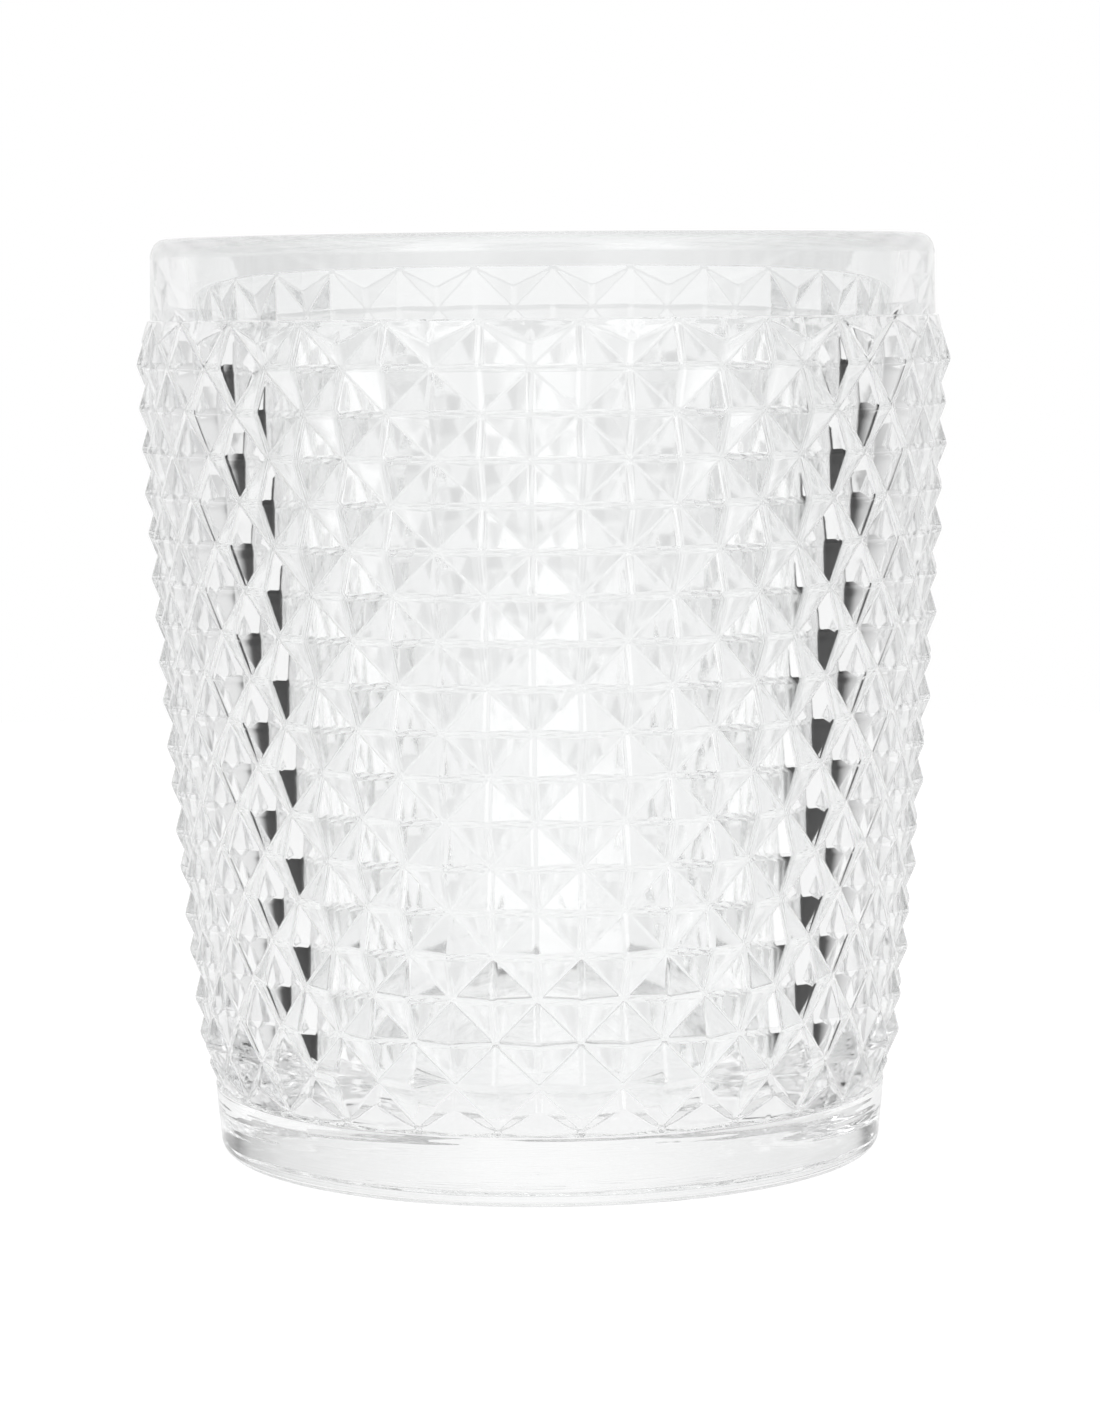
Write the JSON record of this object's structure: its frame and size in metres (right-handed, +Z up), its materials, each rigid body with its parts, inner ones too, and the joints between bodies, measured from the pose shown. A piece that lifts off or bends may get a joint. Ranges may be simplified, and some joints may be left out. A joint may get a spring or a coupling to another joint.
{
  "type": "whiskey tumbler",
  "caption": "Low, wide drinking glass in clear pressed glass, with a thick foot, a diamond-point relief round its gently tapered wall and a plain band at the rim and foot.",
  "frame": {"origin": "centre of the foot, on the surface that the glass stands on", "axes": "+Z up along the axis of the glass, out of its mouth; -Y is the front"},
  "size_m": [0.0887, 0.0887, 0.1],
  "materials": {
    "clear_glass": "clear, colourless, fire-polished pressed glass"
  },
  "bodies": {
    "root": {"tumbler_glass": "clear_glass"}
  },
  "joints": []
}
